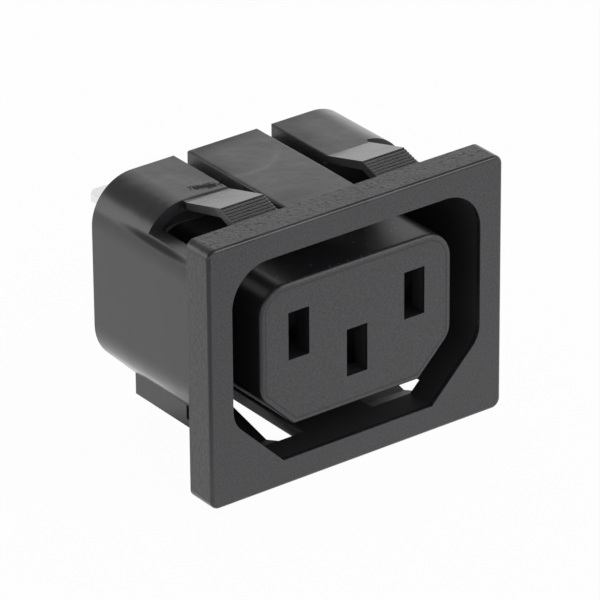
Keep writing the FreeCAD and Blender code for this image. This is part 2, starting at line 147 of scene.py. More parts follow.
# Dust, and painted light that lightens the slit wall left of the land and the arms' outer sides: how far the
# dust reaches on the nose, and how thick each lies
NOSE_DUST_FADE = {"From Min": 3.0 * MM, "From Max": 0.0}
NOSE_DUST = 0.7
SMEAR_DUST = 0.24
SLIT_PAINTED_LIGHT = 0.32
ARM_PAINTED_LIGHT = 0.22
ARM_LIGHT_BAND = 0.05 * MM

# Rounded edges: bands along the soft ones, and how much softer they are than the others
LAND_BAND = 0.9 * MM
ARM_BAND = 1.0 * MM
TOP_BAND = 0.8 * MM
RIM_BAND = 1.5 * MM
STAIR_MARGIN = 0.1 * MM
ARM_SOFTNESS = 0.5
SHELL_SOFTNESS = 0.7
ROUND_SOFTNESS = 7.0
SOFT_RADIUS = 0.09 * MM

# Depths of the waves, pits and scuff, the share of each that shows, and the fine ripples on the waves
WAVE_DEPTH = 0.11 * MM
WAVE_SHARE = {"To Min": 0.45, "To Max": 1.0}
RIPPLES = 0.05
PIT_DEPTH = 0.16 * MM
PIT_SHARE = {"To Min": 0.26, "To Max": 0.36}
SCUFF_DEPTH = 0.2 * MM

# Gloss of the housing as roughness, and its shades as shares of the property's colour
POLISH = {"To Min": 0.17, "To Max": 0.27}
CORE_ROUGHNESS = {"To Min": 0.34, "To Max": 0.6}
GRAIN_ROUGHNESS = {"From Min": 0.3, "From Max": 0.7, "To Min": 0.46, "To Max": 0.38}
MATT_ROUGHNESS = 0.95
GRIT = {"From Min": 0.32, "From Max": 0.68}
GRIT_DARK, GRIT_LIGHT = 0.55, 1.5
BLOOM = {"From Min": 0.42, "From Max": 0.6}
BLOOM_BELOW = 0.45
BLOOM_DARK, BLOOM_LIGHT = 0.5, 1.8
# Worn marks and the lines of painted shade are darkened to this share of the plastic's colour
WEAR_AND_SHADE_DARK = 0.25
POLYESTER_IOR = 1.58

# Finish of the rear cover, and the lines that rolling left along the contacts' strip
COVER_FLOW = {"Scale": 1 / (1.2 * MM), "Detail": 4.0}
COVER_WAVES = {"Strength": 0.2, "Distance": 0.03 * MM}
COVER_ROUGHNESS = 0.42
ROLLED_STRETCH = (1.0, 0.04, 1.0)
ROLLED_LINES = {"Scale": 1 / (0.15 * MM), "Detail": 3.0}
ROLLED_DEPTH = {"Strength": 0.15, "Distance": 0.01 * MM}
ROLLED_ROUGHNESS = {"To Min": 0.24, "To Max": 0.42}
STRIP_EDGE = 0.08 * MM

# Stage: the floor's brightness in reflections, the tent's shape, and the softboxes
FLOOR_SIZE = 4.0
FLOOR_GAP = 0.02 * MM
FLOOR_GLOW = 0.97
FRONT_LEFT = (-0.707, -0.707, 0.0)
FRONT_SHADE = {"From Min": 18 * MM, "From Max": 36 * MM, "To Min": 1.08, "To Max": 0.65}
UNDER_OUTLET = {"Location": (0.0, 8.5 * MM, 0.0), "Scale": (19 * MM, 12 * MM, 19 * MM)}
UNDER_SHADE = {"From Max": 0.35, "To Max": 0.3}
TENT_TILT = (-0.25, 0.0, 0.968)
WALL_HEIGHT = 0.4
WALL_TOP = 0.75
ROOF_FADE = {"From Min": 0.53, "From Max": 0.64}
SOFTBOX_DISTANCE = 0.6
REAR_SOFTBOX = {"azimuth": math.radians(-41), "elevation": math.radians(15), "size": (0.3, 0.25)}
FRONT_SOFTBOX = {"azimuth": math.radians(142), "elevation": math.radians(32), "size": (0.3, 0.2)}


def srgb(code):
    """Turn an sRGB hex colour into linear red, green and blue."""
    parts = [int(code[i : i + 2], 16) / 255 for i in (1, 3, 5)]
    return tuple(c / 12.92 if c <= 0.04045 else ((c + 0.055) / 1.055) ** 2.4 for c in parts)


def opaque(colour):
    """Add full opacity to a colour."""
    return (*colour, 1.0)


class OutletFinish(bpy.types.PropertyGroup):
    """Colours and surface sizes of the outlet."""

    plastic: FloatVectorProperty(
        name="Smooth plastic",
        description="Black of the moulding where the mould was polished",
        subtype="COLOR",
        size=3,
        min=0.0,
        max=1.0,
        default=srgb("#202023"),
    )
    grained: FloatVectorProperty(
        name="Grained plastic",
        description="Greyer look of the moulding where the mould was spark-eroded",
        subtype="COLOR",
        size=3,
        min=0.0,
        max=1.0,
        default=srgb("#2d2d30"),
    )
    # Besides dust, this colour paints light: a lighter tone on the slit wall left of the land and on the
    # arms' outer sides
    dust_and_painted_light: FloatVectorProperty(
        name="Dust",
        description="Dust on the nose, in a slit and on the arms",
        subtype="COLOR",
        size=3,
        min=0.0,
        max=1.0,
        default=srgb("#6c6c6f"),
    )
    cover: FloatVectorProperty(
        name="Rear cover",
        description="Black of the moulded rear cover",
        subtype="COLOR",
        size=3,
        min=0.0,
        max=1.0,
        default=srgb("#1e1e20"),
    )
    plating: FloatVectorProperty(
        name="Plating",
        description="Tin plating of the contacts",
        subtype="COLOR",
        size=3,
        min=0.0,
        max=1.0,
        default=srgb("#e6e5e2"),
    )
    grain: FloatProperty(
        name="Grain",
        description="Size of the pits that the spark-eroded mould leaves on the front",
        subtype="DISTANCE",
        unit="LENGTH",
        default=0.2 * MM,
        precision=5,
    )
    edge: FloatProperty(
        name="Edge rounding",
        description="How far the moulded edges look rounded",
        subtype="DISTANCE",
        unit="LENGTH",
        default=0.05 * MM,
        precision=5,
    )


class OutletStage(bpy.types.PropertyGroup):
    """Camera, light and floor."""

    azimuth: FloatProperty(
        name="Azimuth",
        description="Turn of the camera about the upright axis",
        subtype="ANGLE",
        default=math.radians(-37.267),
    )
    elevation: FloatProperty(
        name="Elevation",
        description="Height of the camera above the level",
        subtype="ANGLE",
        default=math.radians(27.366),
    )
    roll: FloatProperty(
        name="Roll",
        description="Turn of the camera about its own line of sight",
        subtype="ANGLE",
        default=math.radians(-0.169),
    )
    distance: FloatProperty(
        name="Distance",
        description="Camera to the middle of the flange's front",
        subtype="DISTANCE",
        unit="LENGTH",
        default=531.5 * MM,
    )
    aim_right: FloatProperty(
        name="Aim to the right",
        description="Picture centre to the right of the flange's middle, at the flange",
        subtype="DISTANCE",
        unit="LENGTH",
        default=-5.636 * MM,
        precision=5,
    )
    aim_up: FloatProperty(
        name="Aim up",
        description="Picture centre above the flange's middle, at the flange",
        subtype="DISTANCE",
        unit="LENGTH",
        default=3.100 * MM,
        precision=5,
    )
    lens: FloatProperty(
        name="Lens",
        description="Focal length in millimetres on a 36 mm picture",
        default=330.0,
    )
    surround: FloatProperty(
        name="Surround",
        description="Brightness of the tent's walls at the level of the floor",
        default=1.28,
    )
    roof: FloatProperty(
        name="Roof",
        description="Brightness of the tent's dim roof",
        default=0.3,
    )
    rear_box: FloatProperty(
        name="Rear softbox",
        description="Power of the softbox behind the outlet on the left, in watts",
        default=0.25,
    )
    front_box: FloatProperty(
        name="Front softbox",
        description="Power of the softbox in front of the outlet on the right, in watts",
        default=0.5,
    )
    floor: FloatVectorProperty(
        name="Floor",
        description="Colour of the floor",
        subtype="COLOR",
        size=3,
        min=0.0,
        max=1.0,
        default=srgb("#fafafa"),
    )


def add_node(tree, kind, inputs=None, **settings):
    """Add a node, set its properties and give each input a value or a link."""
    made = tree.nodes.new(kind)
    for name, value in settings.items():
        setattr(made, name, value)
    for name, value in (inputs or {}).items():
        if isinstance(value, bpy.types.NodeSocket):
            tree.links.new(value, made.inputs[name])
        else:
            made.inputs[name].default_value = value
    return made


def new_material(name):
    """Start a material with a shader and its output, and return the material and the shader."""
    material = bpy.data.materials.new(name)
    material.use_nodes = True
    tree = material.node_tree
    tree.nodes.clear()
    shader = add_node(tree, "ShaderNodeBsdfPrincipled")
    add_node(tree, "ShaderNodeOutputMaterial", {"Surface": shader.outputs["BSDF"]})
    return material, shader


def dress(node, material):
    """Give a CAD node one material."""
    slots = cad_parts[node].data.materials
    slots.clear()
    slots.append(material)


def shade(colour, share):
    """A darker or lighter shade of a colour, as an opaque one."""
    return opaque(tuple(share * c for c in colour))


def soft_patch(tree, point, patch):
    """A mark that is 1 in its middle and fades to 0 at its reach."""
    local = add_node(
        tree, "ShaderNodeMapping", {"Vector": point, **patch}, vector_type="TEXTURE"
    ).outputs["Vector"]
    return add_node(
        tree, "ShaderNodeTexGradient", {"Vector": local}, gradient_type="SPHERICAL"
    ).outputs["Fac"]


def housing_places(tree):
    """Measure a point on the housing, and mark the places there: 1 on the place and 0 elsewhere."""
    at = SimpleNamespace()
    at.point = add_node(tree, "ShaderNodeTexCoord").outputs["Object"]
    at.axes = add_node(tree, "ShaderNodeSeparateXYZ", {0: at.point}).outputs
    at.folded = add_node(tree, "ShaderNodeVectorMath", {0: at.point}, operation="ABSOLUTE").outputs[0]
    at.reach = add_node(tree, "ShaderNodeSeparateXYZ", {0: at.folded}).outputs
    at.depth = add_node(
        tree, "ShaderNodeMath", {0: at.axes["Y"], 1: FLANGE_FRONT}, operation="SUBTRACT"
    ).outputs[0]

    # The flange, how far a point lies past its sides and top, and the front faces
    at.flange = add_node(
        tree, "ShaderNodeMath", {0: at.axes["Y"], 1: 0.0}, operation="LESS_THAN"
    ).outputs[0]
    at.past_side = add_node(
        tree, "ShaderNodeMath", {0: at.reach["X"], 1: FLANGE_SIDE}, operation="SUBTRACT"
    ).outputs[0]
    at.past_top = add_node(
        tree, "ShaderNodeMath", {0: at.reach["Z"], 1: FLANGE_TOP}, operation="SUBTRACT"
    ).outputs[0]
    nearest = add_node(
        tree, "ShaderNodeMath", {0: at.past_side, 1: at.past_top}, operation="MAXIMUM"
    ).outputs[0]
    at.outer = add_node(
        tree, "ShaderNodeMath", {0: nearest, 1: -FLANGE_EDGE}, operation="GREATER_THAN"
    ).outputs[0]
    at.front = add_node(
        tree, "ShaderNodeMapRange", {"Value": at.depth, **FRONT_FADE}
    ).outputs["Result"]

    # The nose
    nose_wide = add_node(
        tree, "ShaderNodeMath", {0: at.reach["X"], 1: NOSE_SIDE + NEAR}, operation="LESS_THAN"
    ).outputs[0]
    nose_tall = add_node(
        tree, "ShaderNodeMath", {0: at.reach["Z"], 1: NOSE_TOP + NEAR}, operation="LESS_THAN"
    ).outputs[0]
    at.nose = add_node(
        tree, "ShaderNodeMath", {0: nose_wide, 1: nose_tall}, operation="MULTIPLY"
    ).outputs[0]

    # The shell above its sills, its top, its ramps, the land's left edge and the slits beside the arms
    at.shell = add_node(
        tree, "ShaderNodeMath", {0: at.reach["Z"], 1: SILL}, operation="GREATER_THAN"
    ).outputs[0]
    at.upper = add_node(
        tree, "ShaderNodeMapRange", {"Value": at.reach["Z"], **UPPER_FADE}
    ).outputs["Result"]
    at.ramp = add_node(
        tree, "ShaderNodeMath", {0: at.axes["Y"], 1: RAMP_START}, operation="LESS_THAN"
    ).outputs[0]
    at.land_left = add_node(
        tree, "ShaderNodeMath", {0: at.axes["X"], 1: -LAND_SIDE, 2: LAND_BAND}, operation="COMPARE"
    ).outputs[0]
    beside_arm = add_node(
        tree, "ShaderNodeMath", {0: at.reach["X"], 1: SLIT_MIDDLE, 2: SLIT_HALF}, operation="COMPARE"
    ).outputs[0]
    slit = add_node(
        tree, "ShaderNodeMapRange", {"Value": at.reach["Z"], **SLIT_FADE, "To Max": beside_arm}
    ).outputs["Result"]
    at.slit = add_node(
        tree, "ShaderNodeMath", {0: slit, 1: at.shell}, operation="MULTIPLY"
    ).outputs[0]
    return at


def nose_rim_line(tree, at):
    """A fine line of painted shade, dark and matt, that goes round the nose's face, just inside its rounded
    edge.
    """
    # Depth is left out of the distance: a middle 1 m behind makes it negative, and then it counts as 0
    past_corner = add_node(
        tree,
        "ShaderNodeVectorMath",
        {0: at.folded, 1: (NOSE_SIDE - NOSE_CORNER, 1.0, NOSE_TOP - NOSE_CORNER)},
        operation="SUBTRACT",
    ).outputs[0]
    outside = add_node(tree, "ShaderNodeVectorMath", {0: past_corner}, operation="MAXIMUM").outputs[0]
    from_corner = add_node(
        tree, "ShaderNodeVectorMath", {0: outside}, operation="LENGTH"
    ).outputs["Value"]
    past_edge = add_node(
        tree, "ShaderNodeMath", {0: from_corner, 1: NOSE_CORNER}, operation="SUBTRACT"
    ).outputs[0]
    # The nose's lower corners are cut at 45 degrees
    slant = add_node(
        tree, "ShaderNodeMath", {0: at.reach["X"], 1: at.axes["Z"]}, operation="SUBTRACT"
    ).outputs[0]
    past_slant = add_node(
        tree,
        "ShaderNodeMath",
        {0: slant, 1: math.sqrt(0.5), 2: -NOSE_SLANT * math.sqrt(0.5)},
        operation="MULTIPLY_ADD",
    ).outputs[0]
    past_nose = add_node(
        tree, "ShaderNodeMath", {0: past_edge, 1: past_slant}, operation="MAXIMUM"
    ).outputs[0]
    at_rim = add_node(
        tree, "ShaderNodeMath", {0: past_nose, 1: -NOSE_RIM, 2: RIM_LINE_HALF}, operation="COMPARE"
    ).outputs[0]
    in_front = add_node(
        tree, "ShaderNodeMath", {0: at_rim, 1: at.front}, operation="MULTIPLY"
    ).outputs[0]
    return add_node(
        tree, "ShaderNodeMath", {0: in_front, 1: RIM_LINE_SHARE}, operation="MULTIPLY"
    ).outputs[0]


def spark_eroded_areas(tree, at, rim_line):
    """The grain lies on the front, the flange's flat sides and the slits, and is worn off at the corners."""
    behind_edge = add_node(
        tree, "ShaderNodeMapRange", {"Value": at.depth, **SIDE_FADE}
    ).outputs["Result"]
    flat_side = add_node(
        tree, "ShaderNodeMath", {0: behind_edge, 1: at.flange}, operation="MULTIPLY"
    ).outputs[0]
    faces = add_node(
        tree, "ShaderNodeMix", {"Factor": at.outer, "A": at.front, "B": flat_side}
    ).outputs["Result"]
    rear_slit = add_node(
        tree, "ShaderNodeMath", {0: at.slit, 1: at.ramp}, operation="SUBTRACT", use_clamp=True
    ).outputs[0]
    eroded = add_node(
        tree, "ShaderNodeMath", {0: faces, 1: rear_slit}, operation="MAXIMUM"
    ).outputs[0]
    past_corner = add_node(
        tree, "ShaderNodeMath", {0: at.past_side, 1: at.past_top}, operation="ADD"
    ).outputs[0]
    corner_wear = add_node(
        tree, "ShaderNodeMapRange", {"Value": past_corner, **CORNER_WEAR}
    ).outputs["Result"]
    # Grain is left off at the corners, and along the nose's rim line of painted shade
    worn_off = add_node(
        tree, "ShaderNodeMath", {0: rim_line, 1: corner_wear}, operation="MAXIMUM"
    ).outputs[0]
    return add_node(
        tree, "ShaderNodeMath", {0: eroded, 1: worn_off}, operation="SUBTRACT", use_clamp=True
    ).outputs[0]


def core_areas(tree, at):
    """What the mould's core shaped: the nose, walls that face inwards and the depth of the recess."""
    level = add_node(
        tree, "ShaderNodeVectorMath", {0: at.point, 1: (1.0, 0.0, 1.0)}, operation="MULTIPLY"
    ).outputs[0]
    facing = add_node(tree, "ShaderNodeNewGeometry").outputs["True Normal"]
    outwards = add_node(
        tree, "ShaderNodeVectorMath", {0: facing, 1: level}, operation="DOT_PRODUCT"
    ).outputs["Value"]
    inner_wall = add_node(
        tree, "ShaderNodeMath", {0: outwards, 1: INNER_WALL}, operation="LESS_THAN"
    ).outputs[0]
    facing_y = add_node(tree, "ShaderNodeSeparateXYZ", {0: facing}).outputs["Y"]
    faces_front = add_node(
        tree, "ShaderNodeMath", {0: facing_y, 1: FACES_FRONT}, operation="LESS_THAN"
    ).outputs[0]
    deep = add_node(
        tree, "ShaderNodeMath", {0: at.axes["Y"], 1: CORE_DEPTH}, operation="GREATER_THAN"
    ).outputs[0]
    core_end = add_node(
        tree, "ShaderNodeMath", {0: faces_front, 1: deep}, operation="MULTIPLY"
    ).outputs[0]
    core_sides = add_node(
        tree, "ShaderNodeMath", {0: inner_wall, 1: at.nose}, operation="MAXIMUM"
    ).outputs[0]
    core_walls = add_node(
        tree, "ShaderNodeMath", {0: core_sides, 1: core_end}, operation="MAXIMUM"
    ).outputs[0]
    core = add_node(
        tree, "ShaderNodeMapRange", {"Value": at.depth, **CORE_FADE, "To Max": core_walls}
    ).outputs["Result"]
    return core, inner_wall


def spark_pits(tree, at, finish):
    """Pits of the spark-eroded mould, coarser on the flange's sides, and all drawn coarse enough to show."""
    fineness = add_node(
        tree, "ShaderNodeMapRange", {"Value": at.outer, **PIT_FINENESS}
    ).outputs["Result"]
    pit_point = add_node(
        tree, "ShaderNodeVectorMath", {0: at.point, "Scale": fineness}, operation="SCALE"
    ).outputs[0]
    return add_node(
        tree, "ShaderNodeTexNoise", {"Vector": pit_point, "Scale": 1 / finish.grain, **SPARK_PITS}
    ).outputs["Fac"]


def scuff_mark(tree, at, ragged):
    """A scuff with a ragged rim on the upper left arm."""
    middle = soft_patch(tree, at.point, SCUFF)
    frayed = add_node(
        tree, "ShaderNodeMath", {0: ragged, 1: SCUFF_FRAYING, 2: middle}, operation="MULTIPLY_ADD"
    ).outputs[0]
    inside = add_node(
        tree, "ShaderNodeMath", {0: middle, 1: SCUFF_RIM}, operation="GREATER_THAN"
    ).outputs[0]
    return add_node(
        tree, "ShaderNodeMapRange", {"Value": frayed, **SCUFF_FADE, "To Max": inside}
    ).outputs["Result"]


def painted_shade_lines(tree, at, rim_line):
    """Painted shade: dark matt lines in the crease on the upper left arm, below each corner window, and round
    the nose's rim.
    """
    crease = soft_patch(tree, at.point, CREASE)
    sill_line = soft_patch(tree, at.folded, SILL_LINE)
    stronger = add_node(
        tree, "ShaderNodeMath", {0: crease, 1: sill_line}, operation="MAXIMUM"
    ).outputs[0]
    faded = add_node(
        tree, "ShaderNodeMapRange", {"Value": stronger, **LINE_FADE}, interpolation_type="SMOOTHSTEP"
    ).outputs["Result"]
    behind_flange = add_node(
        tree, "ShaderNodeMath", {0: faded, 1: at.flange}, operation="SUBTRACT", use_clamp=True
    ).outputs[0]
    return add_node(
        tree, "ShaderNodeMath", {0: behind_flange, 1: rim_line}, operation="MAXIMUM"
    ).outputs[0]


def dull_patches(tree, at):
    """How much handling dulled the flat tops, as roughness to add."""
    dulling = 0.0
    for middle_x, middle_y, reach_x, reach_y, dullness in DULL_PATCHES.values():
        place = {"Location": (middle_x, middle_y, SHELL_TOP), "Scale": (reach_x, reach_y, DULL_HEIGHT)}
        patch = soft_patch(tree, at.point, place)
        dulling = add_node(
            tree, "ShaderNodeMath", {0: patch, 1: dullness, 2: dulling}, operation="MULTIPLY_ADD"
        ).outputs[0]
    return dulling


def curved_smear(tree, at):
    """A light smear on the land, along part of a circle."""
    on_land = add_node(
        tree, "ShaderNodeMath", {0: at.reach["X"], 1: LAND_SIDE}, operation="LESS_THAN"
    ).outputs[0]
    from_middle = add_node(
        tree, "ShaderNodeVectorMath", {0: at.point, 1: SMEAR_MIDDLE}, operation="DISTANCE"
    ).outputs["Value"]
    past_circle = add_node(
        tree, "ShaderNodeMath", {0: from_middle, 1: SMEAR_RADIUS}, operation="SUBTRACT"
    ).outputs[0]
    off_circle = add_node(tree, "ShaderNodeMath", {0: past_circle}, operation="ABSOLUTE").outputs[0]
    along = add_node(
        tree, "ShaderNodeMapRange", {"Value": at.axes["Y"], **SMEAR_END, "To Max": on_land}
    ).outputs["Result"]
    return add_node(
        tree, "ShaderNodeMapRange", {"Value": off_circle, **SMEAR_FADE, "To Max": along}
    ).outputs["Result"]


def nose_dust_and_pits(tree, at):
    """Specks of dust on top of the nose, and a few dark pits on the shell's top."""
    cells = add_node(
        tree,
        "ShaderNodeTexVoronoi",
        {"Vector": at.point, "Scale": 1 / SPECK_SPACING},
        voronoi_dimensions="2D",
    ).outputs
    speck_size = add_node(
        tree, "ShaderNodeMapRange", {"Value": cells["Color"], **SPECK_SIZES}
    ).outputs["Result"]
    speck = add_node(
        tree, "ShaderNodeMath", {0: cells["Distance"], 1: speck_size}, operation="LESS_THAN"
    ).outputs[0]
    nose_top = add_node(
        tree, "ShaderNodeMath", {0: at.axes["Z"], 1: NOSE_TOP, 2: NEAR}, operation="COMPARE"
    ).outputs[0]
    dust_reach = add_node(
        tree, "ShaderNodeMapRange", {"Value": at.axes["Y"], **NOSE_DUST_FADE, "To Max": nose_top}
    ).outputs["Result"]
    # Dust alone here: specks on the nose's top
    dust_and_painted_light = add_node(
        tree, "ShaderNodeMath", {0: speck, 1: dust_reach}, operation="MULTIPLY"
    ).outputs[0]
    pit_size = add_node(
        tree, "ShaderNodeMapRange", {"Value": cells["Color"], **DARK_PIT_SIZES}
    ).outputs["Result"]
    pit = add_node(
        tree, "ShaderNodeMath", {0: cells["Distance"], 1: pit_size}, operation="LESS_THAN"
    ).outputs[0]
    shell_top = add_node(
        tree, "ShaderNodeMath", {0: at.axes["Z"], 1: SHELL_TOP, 2: DARK_PIT_BAND}, operation="COMPARE"
    ).outputs[0]
    dark_pits = add_node(
        tree, "ShaderNodeMath", {0: pit, 1: shell_top}, operation="MULTIPLY"
    ).outputs[0]
    return dust_and_painted_light, dark_pits


def flange_specks(tree, at, grained, pits):
    """Darker specks in the grain of the flange's top."""
    flange_top = add_node(
        tree, "ShaderNodeMath", {0: at.past_top, 1: -FLANGE_EDGE}, operation="GREATER_THAN"
    ).outputs[0]
    deepest = add_node(
        tree, "ShaderNodeMapRange", {"Value": pits, **DARK_GRAIN, "To Max": flange_top}
    ).outputs["Result"]
    faint = add_node(
        tree, "ShaderNodeMath", {0: deepest, 1: DARK_GRAIN_SHARE}, operation="MULTIPLY"
    ).outputs[0]
    return add_node(tree, "ShaderNodeMath", {0: faint, 1: grained}, operation="MULTIPLY").outputs[0]


def lay_dust_and_painted_light(tree, at, smear, nose_dust):
    """Dust in the smear and on the nose, and painted light: a lighter tone on the slit wall left of the land
    and on the arms' outer sides.
    """
    # Painted light: a lighter tone on the slit wall left of the land
    left_slit = add_node(
        tree, "ShaderNodeMath", {0: at.land_left, 1: at.slit}, operation="MULTIPLY"
    ).outputs[0]
    slit_painted_light = add_node(
        tree, "ShaderNodeMath", {0: left_slit, 1: at.flange}, operation="SUBTRACT", use_clamp=True
    ).outputs[0]
    # Painted light: a lighter tone on the front part of the arms' outer sides
    arm_outside = add_node(
        tree,
        "ShaderNodeMath",
        {0: at.reach["X"], 1: ARM_SIDE + ARM_WIDTH, 2: ARM_LIGHT_BAND},
        operation="COMPARE",
    ).outputs[0]
    arm_front = add_node(
        tree, "ShaderNodeMath", {0: arm_outside, 1: at.ramp}, operation="MULTIPLY"
    ).outputs[0]
    arm_behind_flange = add_node(
        tree, "ShaderNodeMath", {0: arm_front, 1: at.flange}, operation="SUBTRACT", use_clamp=True
    ).outputs[0]
    arm_painted_light = add_node(
        tree, "ShaderNodeMath", {0: arm_behind_flange, 1: at.shell}, operation="MULTIPLY"
    ).outputs[0]
    pale_overlay = 0.0
    for dust_and_painted_light, amount in (
        (slit_painted_light, SLIT_PAINTED_LIGHT),
        (smear, SMEAR_DUST),
        (arm_painted_light, ARM_PAINTED_LIGHT),
        (nose_dust, NOSE_DUST),
    ):
        pale_overlay = add_node(
            tree, "ShaderNodeMath", {0: dust_and_painted_light, 1: amount, 2: pale_overlay}, operation="MULTIPLY_ADD"
        ).outputs[0]
    return pale_overlay


def rounded_edges(tree, at, finish):
    """Edges look a little rounded, and more so on the nose, the steps, the land's left and the right arm."""
    arm_side = add_node(
        tree, "ShaderNodeMath", {0: at.axes["X"], 1: ARM_SIDE, 2: ARM_BAND}, operation="COMPARE"
    ).outputs[0]
    arm_rear = add_node(
        tree, "ShaderNodeMath", {0: arm_side, 1: at.ramp}, operation="SUBTRACT", use_clamp=True
    ).outputs[0]
    soft_arm = add_node(
        tree, "ShaderNodeMath", {0: arm_rear, 1: ARM_SOFTNESS}, operation="MULTIPLY"
    ).outputs[0]
    soft_sides = add_node(
        tree, "ShaderNodeMath", {0: at.land_left, 1: soft_arm}, operation="MAXIMUM"
    ).outputs[0]
    near_top = add_node(
        tree, "ShaderNodeMath", {0: at.reach["Z"], 1: SHELL_TOP, 2: TOP_BAND}, operation="COMPARE"
    ).outputs[0]
    soft_top = add_node(
        tree, "ShaderNodeMath", {0: soft_sides, 1: near_top}, operation="MULTIPLY"
    ).outputs[0]
    behind_flange = add_node(
        tree, "ShaderNodeMath", {0: soft_top, 1: at.flange}, operation="SUBTRACT", use_clamp=True
    ).outputs[0]
    soft_shell = add_node(
        tree, "ShaderNodeMath", {0: behind_flange, 1: SHELL_SOFTNESS}, operation="MULTIPLY"
    ).outputs[0]
    rim_side = add_node(
        tree, "ShaderNodeMath", {0: at.reach["X"], 1: NOSE_SIDE - RIM_BAND}, operation="GREATER_THAN"
    ).outputs[0]
    rim_top = add_node(
        tree, "ShaderNodeMath", {0: at.reach["Z"], 1: NOSE_TOP - RIM_BAND}, operation="GREATER_THAN"
    ).outputs[0]
    rim = add_node(tree, "ShaderNodeMath", {0: rim_side, 1: rim_top}, operation="MAXIMUM").outputs[0]
    soft_nose = add_node(tree, "ShaderNodeMath", {0: rim, 1: at.nose}, operation="MULTIPLY").outputs[0]
    soft_round = add_node(
        tree, "ShaderNodeMath", {0: soft_shell, 1: soft_nose}, operation="MAXIMUM"
    ).outputs[0]
    along_stair = add_node(
        tree,
        "ShaderNodeMath",
        {0: at.axes["Y"], 1: CREST / 2, 2: CREST / 2 - STAIR_MARGIN},
        operation="COMPARE",
    ).outputs[0]
    above_shell = add_node(
        tree, "ShaderNodeMath", {0: at.reach["Z"], 1: SHELL_TOP + STAIR_MARGIN}, operation="GREATER_THAN"
    ).outputs[0]
    soft_stair = add_node(
        tree, "ShaderNodeMath", {0: along_stair, 1: above_shell}, operation="MULTIPLY"
    ).outputs[0]
    softness = add_node(
        tree, "ShaderNodeMath", {0: soft_round, 1: ROUND_SOFTNESS, 2: soft_stair}, operation="MULTIPLY_ADD"
    ).outputs[0]
    radius = add_node(
        tree, "ShaderNodeMath", {0: softness, 1: SOFT_RADIUS, 2: finish.edge}, operation="MULTIPLY_ADD"
    ).outputs[0]
    return add_node(tree, "ShaderNodeBevel", {"Radius": radius}, samples=8).outputs["Normal"]


def housing_surface(tree, at, look, finish):
    """Waves of the melt, pits of the grain and the scuff's hollows, on the rounded edges."""
    rippled = add_node(
        tree, "ShaderNodeMath", {0: look.ragged, 1: RIPPLES, 2: look.flow}, operation="MULTIPLY_ADD"
    ).outputs[0]
    wave_share = add_node(
        tree, "ShaderNodeMapRange", {"Value": at.upper, **WAVE_SHARE}
    ).outputs["Result"]
    waves = add_node(
        tree,
        "ShaderNodeBump",
        {
            "Height": rippled,
            "Strength": wave_share,
            "Distance": WAVE_DEPTH,
            "Normal": rounded_edges(tree, at, finish),
        },
    ).outputs["Normal"]
    pit_share = add_node(
        tree, "ShaderNodeMapRange", {"Value": at.outer, **PIT_SHARE}
    ).outputs["Result"]
    grain_share = add_node(
        tree, "ShaderNodeMath", {0: look.grained, 1: pit_share}, operation="MULTIPLY"
    ).outputs[0]
    pitted = add_node(
        tree,
        "ShaderNodeBump",
        {"Height": look.pits, "Strength": grain_share, "Distance": PIT_DEPTH, "Normal": waves},
    ).outputs["Normal"]
    hollows = add_node(
        tree, "ShaderNodeMath", {0: look.scuff, 1: look.ragged}, operation="MULTIPLY"
    ).outputs[0]
    return add_node(
        tree,
        "ShaderNodeBump",
        {"Height": hollows, "Strength": 1.0, "Distance": SCUFF_DEPTH, "Normal": pitted},
        invert=True,
    ).outputs["Normal"]


def housing_roughness(tree, look):
    """Polished behind the flange, duller from the core, the grain and handling, and matt where worn and along
    the lines of painted shade.
    """
    even = add_node(tree, "ShaderNodeMapRange", {"Value": look.flow, **POLISH}).outputs["Result"]
    handled = add_node(tree, "ShaderNodeMath", {0: even, 1: look.dulling}, operation="ADD").outputs[0]
    core_roughness = add_node(
        tree, "ShaderNodeMapRange", {"Value": look.inner_wall, **CORE_ROUGHNESS}
    ).outputs["Result"]
    smooth = add_node(
        tree, "ShaderNodeMix", {"Factor": look.core, "A": handled, "B": core_roughness}
    ).outputs["Result"]
    grain_roughness = add_node(
        tree, "ShaderNodeMapRange", {"Value": look.ragged, **GRAIN_ROUGHNESS}
    ).outputs["Result"]
    moulded = add_node(
        tree, "ShaderNodeMix", {"Factor": look.grained, "A": smooth, "B": grain_roughness}
    ).outputs["Result"]
    return add_node(
        tree, "ShaderNodeMix", {"Factor": look.worn, "A": moulded, "B": MATT_ROUGHNESS}
    ).outputs["Result"]


def housing_colour(tree, at, look, finish):
    """Black with a cloudy bloom on the tops, darker where worn and along the lines of painted shade, gritty
    where grained, and dust and painted light over it.
    """
    bloom = add_node(tree, "ShaderNodeMapRange", {"Value": look.flow, **BLOOM}).outputs["Result"]
    cloudy = add_node(
        tree, "ShaderNodeMix", {"Factor": at.upper, "A": BLOOM_BELOW, "B": bloom}
    ).outputs["Result"]
    grit = add_node(tree, "ShaderNodeMapRange", {"Value": look.pits, **GRIT}).outputs["Result"]
    grain_shade = add_node(
        tree,
        "ShaderNodeMix",
        {"Factor": grit, "A": shade(finish.grained, GRIT_DARK), "B": shade(finish.grained, GRIT_LIGHT)},
        data_type="RGBA",
    ).outputs[2]
    colour = shade(finish.plastic, BLOOM_DARK)
    for share, over in (
        (cloudy, shade(finish.plastic, BLOOM_LIGHT)),
        (look.core, opaque(finish.plastic)),
        (look.worn, shade(finish.plastic, WEAR_AND_SHADE_DARK)),
        (look.grained, grain_shade),
        (look.dust_and_painted_light, opaque(finish.dust_and_painted_light)),
    ):
        colour = add_node(
            tree, "ShaderNodeMix", {"Factor": share, "A": colour, "B": over}, data_type="RGBA"
        ).outputs[2]
    return colour


